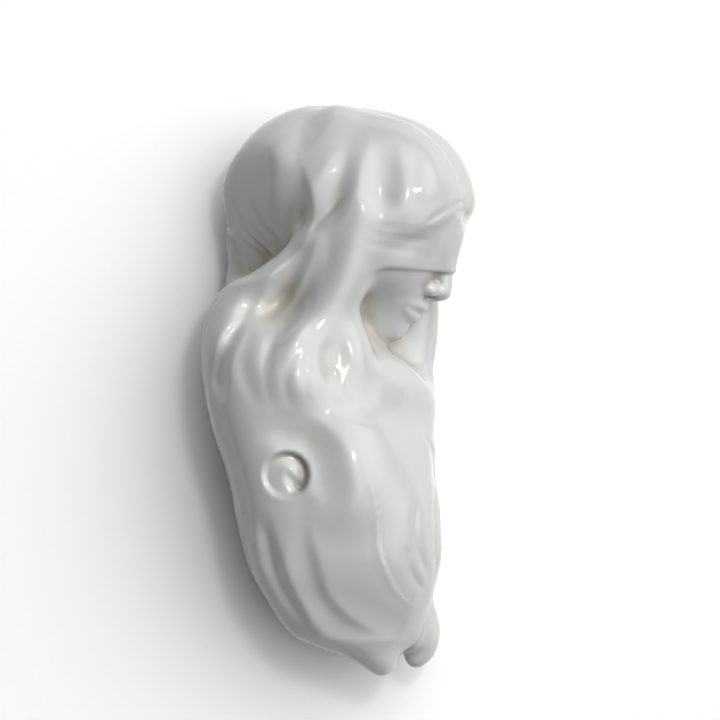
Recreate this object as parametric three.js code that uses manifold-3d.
// Blindfolded goddess figurine: a half-length figure in white glazed porcelain, cast in one piece.
// It lies on its left side. X runs to the front of the figure, Y to the crown and Z up, in millimetres.
// The whole form is one distance field: soft masses joined by fillets, then carved by strokes that follow
// the hair and the cloth. The field is turned into one closed faceted solid and cut flat where it rests.
import * as THREE from 'three';
import { SimplifyModifier } from 'three/addons/modifiers/SimplifyModifier.js';
import { mergeVertices } from 'three/addons/utils/BufferGeometryUtils.js';
import Module from 'manifold-3d';

// Driving dimensions, in millimetres and degrees.
const REST_HEIGHT = -46;                              // plane of the flat spots it lies on
const SECTION_POWER = 3;                              // squareness of the body's cross-sections
const GRID = { low: [-76, -148, -58], high: [76, 148, 58], step: 2.75 };
const VERTEX_COUNT = 4800;

// Body sections from the nape to the hem: height, back, front, near side, far side.
const BODY = [
  [84, -52, -14, -10, -20], [73, -56.5, -6, -16, -30], [63, -57, -5, -15, -34], [54, -58.5, -4, -4, -38],
  [44, -62.5, -1, 16, -42], [32, -66.5, 5, 34, -44], [22, -67.8, 14, 41.5, -45.5], [11, -68, 26, 44.5, -46.5],
  [0, -67.3, 37, 46, -47.5], [-14, -64.7, 45.5, 46.5, -46.5], [-26, -61.3, 48, 46.5, -47],
  [-38, -57.2, 48, 47, -47.5], [-50, -54, 49, 47.5, -47.5], [-62, -51.8, 50.2, 47, -47.5],
  [-80, -47.8, 51, 45, -47.5], [-92, -43.5, 49, 42, -44], [-104, -37, 46, 37, -39],
  [-114, -29.5, 43, 31, -33], [-122, -20.5, 41, 24, -27], [-128, -9, 38, 12, -16], [-132, 4, 32, 1, -6],
];
const BODY_END_FILLET = 6;
const CHEST = { point: [24, 2, 20], slope: [0.66, 0.5, 0.56], fillet: 16 };  // plane that slopes the chest

// Round limbs of the body: points of x, y, z and radius, and the fillet they join it with.
const BODY_LIMBS = {
  nearTip: {
    points: [[-6, -106, 13, 19], [8, -117, 15, 15], [17.5, -127.5, 14, 11], [20.5, -133.5, 12, 8]],
    fillet: 12,
  },
  farTip: {
    points: [[31, -106, -8, 14], [37.5, -120, -9, 12.6], [39.8, -129, -9, 9], [38.5, -134.5, -8, 6]],
    fillet: 5,
  },
  neck: { points: [[-8, 66, -4, 22], [-14, 40, -2, 23], [-14, 8, 0, 32]], fillet: 10 },
  throat: { points: [[-8, 28, 4, 19], [6, 14, 8, 15], [22, 3, 0, 13]], fillet: 10 },
  collar: { points: [[14, 2, 22, 12], [26, -2, 9, 13], [34, -6, -8, 12.5], [36, 0, -24, 11]], fillet: 12 },
  nearLock: {
    points: [
      [16, 84, 31, 11], [9.5, 66, 31, 12], [1.5, 50, 31, 12], [-6, 36, 31.5, 11.5], [-13, 22, 34, 10.5],
      [-18, 6, 37, 9],
    ],
    fillet: 14,
  },
  jawLock: { points: [[-2, 36, 28, 8], [4, 26, 30, 9], [6, 14, 31, 9.5], [2, 0, 31, 9]], fillet: 8 },
  farLockInner: {
    points: [[26, 74, -28, 9], [24, 52, -29, 11], [22, 32, -29, 13], [20, 10, -28, 15]],
    fillet: 8,
  },
  farLock: {
    points: [
      [42, 84, -24, 8], [41, 66, -27, 9], [39, 52, -29, 11], [38.5, 36, -30, 12],
      [37, 20, -30, 12], [34.5, 6, -29, 11.5], [32, -8, -26, 11], [28, -24, -20, 9],
    ],
    fillet: 8,
  },
  sweepLock: {
    points: [
      [-2, 124, 16, 14], [-4, 106, 23, 14], [-6, 90, 27, 14], [-10, 77, 27, 14], [-19, 64.5, 25, 13],
      [-32, 54, 20, 12.5], [-45, 45, 12.5, 12], [-50, 33, 10, 11], [-49.5, 18, 10, 10],
    ],
    fillet: 16,
  },
};
const NEAR_ARM = { centre: [4, -42, 24], radii: [24, 34, 27], fillet: 10 };

// Head, in its own frame of forward, up and sideways.
const HEAD = { centre: [15, 92.7, 0], bow: 30.6, turn: 13, fillet: 6 };
const SKULL = { centre: [0, 0, 0], radii: [47, 42, 37] };
const FACE_MASSES = [
  { centre: [16, 1, 12], radii: [29, 34, 24], fillet: 8 },            // temples
  { centre: [14, -18, 0], radii: [33, 36, 31], fillet: 10 },          // lower skull
  { centre: [22, -37, 0], radii: [22, 16, 18], fillet: 12 },          // jaw
  { centre: [38, -47.5, 0], radii: [10.5, 8.5, 11], fillet: 9 },      // chin
  { centre: [27, -19, 16], radii: [16.5, 16.5, 16.5], fillet: 8 },    // cheeks
  { centre: [32, -32, 0], radii: [15.5, 13, 15], fillet: 8 },         // muzzle
];
const UPPER_LIP = [[49.6, -31.5, 0, 2.7], [48.4, -31.1, 4.5, 2.6], [44.2, -33.1, 11.5, 1.4]];
const LOWER_LIP = [[48.3, -37.1, 0, 3.1], [47, -36.9, 5, 2.9], [43.8, -34.8, 11, 1.3]];
const MOUTH_LINE = [[52.4, -34.3, 0, 0.8], [50.8, -34, 5, 0.8], [46, -34, 12.5, 0.5]];
const NOSE_BRIDGE = [[43, 6, 0, 4], [48, -6, 0, 3.7], [53, -15, 0, 3.8], [54.6, -19.4, 0, 4.1]];
const NOSE_BASE = [[53.5, -21.5, 0, 2.6], [50, -26, 0, 2.2]];
const NOSE_WING = { centre: [49.6, -21.2, 5], radii: [4, 3.6, 3.4], fillet: 2.6 };
const NOSTRIL = { centre: [51.6, -24.6, 3], radii: [2.2, 1.5, 1.4], fillet: 1.5 };
const FACE_FILLET = { lips: 2.4, mouthLine: 1.8, noseBridge: 5, noseBase: 3 };

// The blindfold goes over the eyes and on up under the hair. Its lower edge rises towards the face.
const BLINDFOLD = {
  thickness: 1.8, low: -12.5, lowAt: 48, rise: 0.53, high: 27, edgeFillet: 1.4, skinFillet: 0.8,
};

// Hair: a cap of two lobes that meet in the parting, the far one fuller, the rows of its hairline on the side
// of the head (height, forward place) and of its edge over the forehead (sideways place, height), the masses
// at the nape and the sloping plane that trims them under the sweeping lock.
const NEAR_LOBE = { centre: [5, 4, 16], radii: [43, 40.5, 26.5] };
const FAR_LOBE = { centre: [5, 4, -6.5], radii: [46, 43.5, 39] };
const BACK_OF_HAIR = { centre: [-26, -10.5, 0], radii: [44, 45.5, 42] };
const PARTING_FILLET = 1.2;
const LOBES_FILLET = 16;
const HAIRLINE = [
  [-75, 17], [-60, 21], [-37, 23], [-22, 23.5], [-10, 26], [2, 35], [9, 39], [19, 42.5], [30, 48],
];
const FOREHEAD_EDGE = [
  [-45, 6], [-25, 18.5], [-10, 24.5], [0, 26], [8, 26], [16, 22], [25, 14], [35, 1], [45, -14],
];
const HAIR_EDGE = { cornerFillet: 8, fillet: 7 };
const NAPE_LOCK = [
  [-26, 104, 8, 20], [-28, 88, 8, 20], [-29, 72, 1, 19], [-29, 58, -4, 19], [-28, 40, 4, 22],
];
const BACK_LOCK = [[-38, 96, -8, 17], [-38, 80, -5, 18], [-39, 66, -13, 18], [-40, 50, -16, 19]];
const NAPE = {
  fillet: 16, planePoint: [-30, 78, 22], planeSlope: [-0.7, -0.35, 0.62], planeFillet: 10, bodyFillet: 8,
};

// Carving strokes: kind, half width, height (a groove is negative), route, and where given the shares of the
// route over which it fades in and out and how many times narrower its left-hand side is, going along the
// route. A soft stroke is rounded, a crease comes to a sharp line, and a lap is a cloth edge that stands up
// on one side of its line.
const FADE = 0.28;
const FADED_WIDTH = 0.6;                              // width at a faded end, as a share of the full width
const LAP_GROOVE = { depth: 0.35, narrower: 2.5 };
const HAIR_STROKES = [
  ['soft', 13, -2, [[21, 124], [22, 108], [21, 94], [17, 80]], 0.5, 0.3, 1.1],
  ['soft', 12, 1.7, [[11, 134], [11, 108], [9, 84], [2, 54], [-6, 36]], 0.55, 0.4],
  ['soft', 13, -3.2, [[5, 118], [1.5, 103], [-5, 90], [-12, 80.5], [-20, 71]], 0.6, 0.25, 1.2],
  ['soft', 8, -1.1, [[-6, 144], [-12, 132], [-22, 114]], 0.3, 0.5],
  ['soft', 11, 0.9, [[-24, 138], [-30, 120], [-33, 100]], 0.5, 0.4],
  ['soft', 11, -1, [[-38, 124], [-40, 106], [-44, 88]], 0.4, 0.4],
  ['soft', 9, 1.2, [[42, 124], [44, 104], [42, 86]], 0.6, 0.3],
];
const CLOAK_STROKES = [
  ['soft', 9, -1.9, [[-36, -56], [-35, -70], [-32.5, -84], [-27, -99], [-19, -111], [-9, -121]],
    0.35, 0.35, 1.3],
  ['soft', 11, -1.8, [[-18, -56], [-17, -74], [-13, -93], [-8, -104], [3, -115], [24, -124]],
    0.35, 0.35, 1.5],
  ['soft', 7, 1.5, [[-41, -60], [-39.5, -75], [-36.5, -89], [-29, -104], [-18, -117]]],
  ['lap', 6, 0.65, [[8, -24], [13, -35.5], [18.5, -53], [20, -76], [26.5, -93.5], [34.5, -103], [46, -110]]],
];
const NEAR_ONLY_STROKES = [
  ['crease', 3.5, -1.1, [[4, 95], [-3, 87], [-10, 80], [-17, 73]]],
  ['crease', 3.5, -0.9, [[62, 92.5], [58.5, 91], [52, 87], [44, 81.5], [38, 77.5]], 0.1, 0.4],
  ['soft', 5.5, -1.7, [[76, 79], [65, 83.5], [60, 86.5], [54, 87.5]], 0.1, 0.6],
  ['soft', 20, -4, [[-22, 114], [-18.5, 98], [-18, 86], [-22, 74.5], [-30, 65.5], [-41, 58.5], [-58, 54]],
    0.4, 0.2, 3],
  ['soft', 8.5, 1.9, [[-22, 66], [-35, 56.5], [-49, 46], [-57, 26], [-60, 4]]],
  ['soft', 6, -2.4, [[-45, 34], [-54, 22], [-57.5, 8], [-56, -8]]],
  ['soft', 9, -2.6, [[-11, 80], [-19, 66], [-25, 53], [-31, 42], [-40, 28]], 0.3, 0.4, 1.2],
  ['soft', 8, 0.9, [[-33, 36], [-39, 20], [-38, 5], [-32, -14]], 0.3, 0.5],
  ['soft', 7, 1.7, [[-10, 38], [-26, 20], [-30, 3], [-26, -14]], 0.3, 0.5],
  ['soft', 6.5, 0.8, [[-14, 33], [-21, 18], [-21, 3], [-16, -14]], 0.3, 0.5],
  ['soft', 7, -0.8, [[-39, 32], [-45, 16], [-43, 3], [-36, -13]], 0.3, 0.5],
  ['soft', 13, -1.8, [[-44, -20], [-25, -21], [-9, -30], [-3, -47], [-7, -64]]],
  ['soft', 5, -0.8, [[-4, 27], [-7, 16], [-4, 7.5], [3, 4.5]], 0.3, 0.3],
  ['crease', 5, -1.1, [[37.5, -51], [36.5, -68.5], [40.5, -84], [46, -93.5]]],
  ['crease', 5, -0.9, [[32.5, -72], [34.5, -87], [42, -99.5]]],
  ['crease', 3, -1.8, [[38, -17], [42, -23], [46, -32.5], [47, -53], [47, -87], [44.5, -99.5]]],
  ['lap', 3.5, 0.6, [[20, -21.5], [6, -17], [-6.5, -10]]],
];
const FAR_DEPTH = 0.65;                               // the far side is carved shallower
const BACK_HAIR = { places: [-27, -14, 0, 13], halfWidth: 7.5, height: -1.8, fadeIn: 0.4, fadeOut: 0.45 };
const BACK_FOLDS = { places: [-22, 3, 27], halfWidth: 10, height: -2.2, fadeIn: 0.5, fadeOut: 0.4 };
const NEAR_BLEND = [-12, 2];                          // Z over which the near carving comes in
const FAR_BLEND = [0, -14];                           // Z over which the far carving comes in
const BACK_BLEND = [-22, -40];                        // X over which the carving of the back comes in
const BACK_NEAR_LIMIT = [30, 16];                     // Z over which it dies away towards the near side
const CARVING_REACH = 9;                              // no stroke moves the surface as far as this

// The spiral socket of the near arm: a shallow round bowl whose edge winds down clockwise from a notch at
// its lower right.
const SOCKET = {
  centre: [-25.4, -40.6], radius: 11.7, bowlDepth: 1.8, lipHeight: 0.15, lipWidth: 1.8, notch: [0.61, -0.79],
};
const BOWL_WALL = [-0.3, 2.6];                        // the wall's top and foot, inwards from the rim
const WHORL = { depth: 3.2, width: 3.2, from: 0.35, to: 0.9, outer: [0, 0.8], inner: [2.8, 0.9] };
const CURL = ['soft', 4.2, -1.5, [[-19.2, -49], [-21.6, -45], [-24.2, -41], [-27.7, -39]], 0.1, 0.6];

// Small helpers.
const clamp01 = (v) => Math.min(Math.max(v, 0), 1);
const smoothstep = ([from, to], v) => {
  const t = clamp01((v - from) / (to - from));
  return t * t * (3 - 2 * t);
};
const join = (a, b, fillet) => {
  const h = Math.max(fillet - Math.abs(a - b), 0) / fillet;
  return Math.min(a, b) - h * h * fillet / 4;
};
const overlap = (a, b, fillet) => -join(-a, -b, fillet);
const abovePlane = (p, point, slope) => slope.reduce((sum, v, i) => sum + v * (p[i] - point[i]), 0);

function spline(points, steps) {
  const last = points.length - 1;
  const mirror = (end, next) => end.map((v, i) => 2 * v - next[i]);
  const all = [mirror(points[0], points[1]), ...points, mirror(points[last], points[last - 1])];
  const samples = [];
  for (let i = 1; i <= last; i++) {
    const [a, b, c, d] = all.slice(i - 1, i + 3);
    for (let k = 0; k < steps; k++) {
      const t = k / steps;
      const at = (j) => 2 * b[j] + (c[j] - a[j]) * t + (2 * a[j] - 5 * b[j] + 4 * c[j] - d[j]) * t * t
        + (3 * b[j] - a[j] - 3 * c[j] + d[j]) * t ** 3;
      samples.push(b.map((_, j) => at(j) / 2));
    }
  }
  samples.push(points[last]);
  return samples;
}

// Linear lookup in rows sorted by their first value.
function lookup(rows, key) {
  let i = 1;
  while (i < rows.length - 1 && rows[i][0] < key) i++;
  const [a, b] = [rows[i - 1], rows[i]];
  const t = clamp01((key - a[0]) / (b[0] - a[0]));
  return a.map((v, j) => v + t * (b[j] - v));
}

// Masses.
function ellipsoid([x, y, z], { centre, radii }) {
  const [rx, ry, rz] = radii;
  const [u, v, w] = [(x - centre[0]) / rx, (y - centre[1]) / ry, (z - centre[2]) / rz];
  const size = Math.hypot(u, v, w) + 1e-9;
  return size * (size - 1) / (Math.hypot(u / rx, v / ry, w / rz) + 1e-9);
}

function limb(points) {
  const samples = spline(points, 6);
  return ([x, y, z]) => {
    let best = Infinity;
    for (let i = 1; i < samples.length; i++) {
      const [a, b] = [samples[i - 1], samples[i]];
      const [ux, uy, uz] = [b[0] - a[0], b[1] - a[1], b[2] - a[2]];
      const along = (x - a[0]) * ux + (y - a[1]) * uy + (z - a[2]) * uz;
      const t = clamp01(along / (ux * ux + uy * uy + uz * uz));
      const gap = Math.hypot(x - a[0] - t * ux, y - a[1] - t * uy, z - a[2] - t * uz);
      best = Math.min(best, gap - a[3] - t * (b[3] - a[3]));
    }
    return best;
  };
}

const bodyRows = spline(BODY, 12).reverse();
function bodySection(height, x, z) {
  const [, back, front, near, far] = lookup(bodyRows, height);
  const [halfX, halfZ] = [(front - back) / 2, (near - far) / 2];
  const u = Math.abs(x - (front + back) / 2) / halfX;
  const w = Math.abs(z - (near + far) / 2) / halfZ;
  const size = (u ** SECTION_POWER + w ** SECTION_POWER) ** (1 / SECTION_POWER) + 1e-6;
  const slopeX = (u / size) ** (SECTION_POWER - 1) / halfX;
  const slopeZ = (w / size) ** (SECTION_POWER - 1) / halfZ;
  return { size, slopeAcross: Math.hypot(slopeX, slopeZ) + 1e-4 };
}

// The slope along the height is held back where the ends close in, so that fillets there keep their size.
const STEEPEST_END = 1.5;
function body(p) {
  const [x, y, z] = p;
  const { size, slopeAcross } = bodySection(y, x, z);
  const slopeY = (bodySection(y + 1, x, z).size - bodySection(y - 1, x, z).size) / 2;
  const steepest = STEEPEST_END * slopeAcross;
  const side = (size - 1) / Math.hypot(slopeAcross, THREE.MathUtils.clamp(slopeY, -steepest, steepest));
  const sloped = overlap(side, abovePlane(p, CHEST.point, CHEST.slope), CHEST.fillet);
  return overlap(sloped, Math.max(y - BODY[0][0], BODY[BODY.length - 1][0] - y), BODY_END_FILLET);
}

// To the head's own frame, in which both halves of the face are alike.
const headTurn = new THREE.Matrix4().makeRotationY(THREE.MathUtils.degToRad(-HEAD.turn))
  .multiply(new THREE.Matrix4().makeRotationZ(THREE.MathUtils.degToRad(-HEAD.bow)));
const headInverse = headTurn.clone().setPosition(...HEAD.centre).invert();
function toHead([x, y, z]) {
  const local = new THREE.Vector3(x, y, z).applyMatrix4(headInverse);
  return local.toArray();
}

const upperLip = limb(UPPER_LIP);
const lowerLip = limb(LOWER_LIP);
const mouthLine = limb(MOUTH_LINE);
const noseBridge = limb(NOSE_BRIDGE);
const noseBase = limb(NOSE_BASE);
function face(p) {
  let d = FACE_MASSES.reduce((sum, mass) => join(sum, ellipsoid(p, mass), mass.fillet), ellipsoid(p, SKULL));
  d = join(join(d, upperLip(p), FACE_FILLET.lips), lowerLip(p), FACE_FILLET.lips);
  d = overlap(d, -mouthLine(p), FACE_FILLET.mouthLine);
  d = join(join(d, noseBridge(p), FACE_FILLET.noseBridge), noseBase(p), FACE_FILLET.noseBase);
  d = join(d, ellipsoid(p, NOSE_WING), NOSE_WING.fillet);
  return overlap(d, -ellipsoid(p, NOSTRIL), NOSTRIL.fillet);
}

function blindfold([forward, up], skin) {
  const { thickness, low, lowAt, rise, high, edgeFillet } = BLINDFOLD;
  const belowBand = low + (forward - lowAt) * rise - up;
  return overlap(skin - thickness, Math.max(belowBand, up - high), edgeFillet);
}

const hairlineRows = spline(HAIRLINE, 8);
const foreheadRows = spline(FOREHEAD_EDGE, 8);
function hairCap(p) {
  const [forward, up, side] = p;
  const lobes = join(ellipsoid(p, NEAR_LOBE), ellipsoid(p, FAR_LOBE), PARTING_FILLET);
  const cap = join(lobes, ellipsoid(p, BACK_OF_HAIR), LOBES_FILLET);
  const inFront = forward - lookup(hairlineRows, up)[1];
  const belowEdge = lookup(foreheadRows, side)[1] - up;
  return overlap(cap, join(inFront, belowEdge, HAIR_EDGE.cornerFillet), HAIR_EDGE.fillet);
}

const napeLock = limb(NAPE_LOCK);
const backLock = limb(BACK_LOCK);
function hair(p, headPoint) {
  const full = join(join(hairCap(headPoint), napeLock(p), NAPE.fillet), backLock(p), NAPE.fillet);
  return overlap(full, abovePlane(p, NAPE.planePoint, NAPE.planeSlope), NAPE.planeFillet);
}

const bodyLimbs = Object.values(BODY_LIMBS).map(({ points, fillet }) => ({ mass: limb(points), fillet }));
function masses(p) {
  const headPoint = toHead(p);
  const [forward, up, side] = headPoint;
  const skin = face([forward, up, Math.abs(side)]);
  const trunk = join(body(p), ellipsoid(p, NEAR_ARM), NEAR_ARM.fillet);
  const figure = bodyLimbs.reduce((d, { mass, fillet }) => join(d, mass(p), fillet), trunk);
  const bandedFace = join(skin, blindfold(headPoint, skin), BLINDFOLD.skinFillet);
  return join(join(figure, hair(p, headPoint), NAPE.bodyFillet), bandedFace, HEAD.fillet);
}

// Carving.
function stroke([kind, halfWidth, height, route, fadeIn = FADE, fadeOut = FADE, steep = 1]) {
  const samples = spline(route, 6);
  const lengths = [0];
  for (let i = 1; i < samples.length; i++) {
    const [a, b] = [samples[i - 1], samples[i]];
    lengths.push(lengths[i - 1] + Math.hypot(b[0] - a[0], b[1] - a[1]));
  }
  const total = lengths[lengths.length - 1];
  const shapes = {
    soft: (d) => (1 - d * d) ** 2,
    crease: (d) => (1 - d) ** 2,
    lap: (d, side) => (side < 0 ? (1 - d) ** 2
      : -LAP_GROOVE.depth * Math.max(1 - LAP_GROOVE.narrower * d, 0) ** 2),
  };
  return (x, y) => {
    let [best, along, side] = [Infinity, 0, 1];
    for (let i = 1; i < samples.length; i++) {
      const [a, b] = [samples[i - 1], samples[i]];
      const [ux, uy] = [b[0] - a[0], b[1] - a[1]];
      const t = clamp01(((x - a[0]) * ux + (y - a[1]) * uy) / (ux * ux + uy * uy));
      const [ex, ey] = [x - a[0] - t * ux, y - a[1] - t * uy];
      const gap = ex * ex + ey * ey;
      if (gap >= best) continue;
      best = gap;
      along = (lengths[i - 1] + t * (lengths[i] - lengths[i - 1])) / total;
      side = ux * ey - uy * ex;
    }
    const fade = smoothstep([0, fadeIn], along) * smoothstep([1, 1 - fadeOut], along);
    const width = halfWidth * (FADED_WIDTH + (1 - FADED_WIDTH) * fade) / (side > 0 ? steep : 1);
    const d = Math.sqrt(best) / width;
    return d < 1 ? height * fade * shapes[kind](d, side) : 0;
  };
}

const notchAngle = Math.atan2(SOCKET.notch[1], SOCKET.notch[0]);
const curl = stroke(CURL);
function socket(x, y) {
  const [dx, dy] = [x - SOCKET.centre[0], y - SOCKET.centre[1]];
  const r = Math.hypot(dx, dy);
  const inwards = SOCKET.radius - r;
  const turn = ((notchAngle - Math.atan2(dy, dx)) / (2 * Math.PI) + 2) % 1;
  const bowl = SOCKET.bowlDepth * smoothstep(BOWL_WALL, inwards);
  const across = inwards / WHORL.width;
  const whorl = WHORL.depth * smoothstep([WHORL.from, WHORL.to], turn)
    * smoothstep(WHORL.outer, across) * smoothstep(WHORL.inner, across);
  const lip = SOCKET.lipHeight * Math.exp(-((inwards / SOCKET.lipWidth) ** 2));
  return lip - bowl - whorl + curl(x, y);
}

const hairWave = (z) => [[z, 112 - Math.abs(z) / 2], [z * 0.85, 75], [z * 0.9, 45], [z * 1.05, 12], [z, -16]];
const cloakFold = (z) => [[z * 0.9, -14], [z * 1.1, -45], [z * 0.8, -82], [z * 0.25, -118]];
const backStrokes = ({ places, halfWidth, height, fadeIn, fadeOut }, route) => places
  .map((z) => stroke(['soft', halfWidth, height, route(z), fadeIn, fadeOut]));
const backCarving = [...backStrokes(BACK_HAIR, hairWave), ...backStrokes(BACK_FOLDS, cloakFold)];
const bothSides = [...HAIR_STROKES, ...CLOAK_STROKES].map(stroke);
const nearCarving = [...NEAR_ONLY_STROKES.map(stroke), socket];
const carved = (strokes, u, v) => strokes.reduce((height, carve) => height + carve(u, v), 0);
function relief([x, y, z]) {
  const near = smoothstep(NEAR_BLEND, z);
  const far = FAR_DEPTH * smoothstep(FAR_BLEND, z);
  const back = smoothstep(BACK_BLEND, x) * smoothstep(BACK_NEAR_LIMIT, z);
  let height = (near + far) * carved(bothSides, x, y);
  if (near > 0) height += near * carved(nearCarving, x, y);
  if (back > 0) height += back * carved(backCarving, z, y);
  return height;
}

function figure(p) {
  const d = masses(p);
  return Math.abs(d) < CARVING_REACH ? d - relief(p) : d;
}

// Runs a function for every i, j, k from a start up to a limit on each axis.
function eachCell(start, limit, step, visit) {
  for (let i = start[0]; i < limit[0]; i += step) {
    for (let j = start[1]; j < limit[1]; j += step) {
      for (let k = start[2]; k < limit[2]; k += step) visit(i, j, k);
    }
  }
}

// Field values at all grid points. A block of points far from the surface takes the value of its middle.
const BLOCK = 4;
const BLOCK_MARGIN = 1.5;
function sample(field, count, index, place, step) {
  const value = new Float64Array(count[0] * count[1] * count[2]);
  eachCell([0, 0, 0], count, BLOCK, (i, j, k) => {
    const middle = field(place(i + BLOCK / 2, j + BLOCK / 2, k + BLOCK / 2));
    const near = Math.abs(middle) < BLOCK * step * BLOCK_MARGIN;
    const end = [i, j, k].map((v, axis) => Math.min(v + BLOCK, count[axis]));
    eachCell([i, j, k], end, 1, (a, b, c) => {
      value[index(a, b, c)] = near ? field(place(a, b, c)) : middle;
    });
  });
  return value;
}

// Turn the field into a closed mesh: one point in every grid cell that the surface crosses, and one
// four-sided face across every grid edge that it crosses.
const AXES = [[1, 0, 0], [0, 1, 0], [0, 0, 1]];
const CELL_CORNERS = [0, 1, 2, 3, 4, 5, 6, 7].map((c) => [c & 1, (c >> 1) & 1, c >> 2]);
const CELL_EDGES = CELL_CORNERS.flatMap((corner) => AXES.filter((_, axis) => corner[axis] === 0)
  .map((axis) => ({ corner, axis })));
function polygonise(field, { low, high, step }) {
  const count = low.map((v, i) => Math.ceil((high[i] - v) / step) + 1);
  const index = (i, j, k) => (i * count[1] + j) * count[2] + k;
  const place = (i, j, k) => [low[0] + i * step, low[1] + j * step, low[2] + k * step];
  const value = sample(field, count, index, place, step);
  const lastCell = count.map((v) => v - 1);
  const vertexOf = new Map();
  const points = [];
  eachCell([0, 0, 0], lastCell, 1, (i, j, k) => {
    const sum = [0, 0, 0];
    let crossings = 0;
    for (const { corner: [a, b, c], axis } of CELL_EDGES) {
      const from = value[index(i + a, j + b, k + c)];
      const to = value[index(i + a + axis[0], j + b + axis[1], k + c + axis[2])];
      if ((from < 0) === (to < 0)) continue;
      const t = from / (from - to);
      place(i + a, j + b, k + c).forEach((v, n) => { sum[n] += v + t * axis[n] * step; });
      crossings++;
    }
    if (crossings === 0) return;
    vertexOf.set(index(i, j, k), points.length);
    points.push(sum.map((v) => v / crossings));
  });
  const faces = [];
  eachCell([1, 1, 1], lastCell, 1, (i, j, k) => {
    AXES.forEach(([da, db, dc], n) => {
      const inside = value[index(i, j, k)] < 0;
      if (inside === value[index(i + da, j + db, k + dc)] < 0) return;
      const [u, v] = [AXES[(n + 1) % 3], AXES[(n + 2) % 3]];
      const back = (s, t) => [i, j, k].map((cell, axis) => cell - s * u[axis] - t * v[axis]);
      const [a, b, c, d] = [back(0, 0), back(1, 0), back(1, 1), back(0, 1)]
        .map((cell) => vertexOf.get(index(...cell)));
      faces.push(...(inside ? [a, b, c, a, c, d] : [a, c, b, a, d, c]));
    });
  });
  return { points, faces };
}

// Move a point onto the surface along the field's slope.
const SETTLE = { passes: 2, reach: 0.5, longestMove: 1, leastSlope: 0.25 };
function settle(field, point) {
  const { reach, longestMove } = SETTLE;
  let p = point;
  for (let pass = 0; pass < SETTLE.passes; pass++) {
    const slope = [0, 1, 2].map((axis) => {
      const offset = (amount) => p.map((v, i) => (i === axis ? v + amount : v));
      return (field(offset(reach)) - field(offset(-reach))) / (2 * reach);
    });
    const scale = field(p) / Math.max(slope[0] ** 2 + slope[1] ** 2 + slope[2] ** 2, SETTLE.leastSlope);
    p = p.map((v, i) => v - THREE.MathUtils.clamp(slope[i] * scale, -longestMove, longestMove));
  }
  return p;
}

async function surfaceGeometry() {
  const { points, faces } = polygonise(figure, GRID);
  const geometry = new THREE.BufferGeometry();
  const settled = points.flatMap((p) => settle(figure, p));
  geometry.setAttribute('position', new THREE.Float32BufferAttribute(settled, 3));
  geometry.setIndex(faces);
  return new SimplifyModifier().modify(geometry, points.length - VERTEX_COUNT);
}

// Cut the figure flat where it rests, with a block below the rest plane.
const wasm = await Module();
wasm.setup();
function solid(geometry) {
  return new wasm.Manifold(new wasm.Mesh({
    numProp: 3,
    vertProperties: Float32Array.from(geometry.attributes.position.array),
    triVerts: Uint32Array.from(geometry.index.array),
  }));
}

function block(size, centre) {
  const geometry = new THREE.BoxGeometry(...size).translate(...centre);
  geometry.deleteAttribute('normal');
  geometry.deleteAttribute('uv');
  return solid(mergeVertices(geometry));
}

const CUTTER = { size: [400, 400, 40] };
async function restingFigure() {
  const cutter = block(CUTTER.size, [0, 0, REST_HEIGHT - CUTTER.size[2] / 2]);
  const { vertProperties, triVerts } = solid(await surfaceGeometry()).subtract(cutter).getMesh();
  const geometry = new THREE.BufferGeometry();
  geometry.setAttribute('position', new THREE.Float32BufferAttribute(vertProperties, 3));
  geometry.setIndex(Array.from(triVerts));
  geometry.computeBoundingBox();
  const { min, max } = geometry.boundingBox;
  geometry.translate(-(min.x + max.x) / 2, -(min.y + max.y) / 2, -min.z);
  return geometry;
}

const porcelain = new THREE.MeshStandardMaterial({ color: 0xf1f0ec, roughness: 0.12, metalness: 0 });
const figurine = new THREE.Mesh(await restingFigure(), porcelain);
figurine.name = 'goddess_figurine';

const goddess = new THREE.Group();
goddess.add(figurine);
export default goddess;
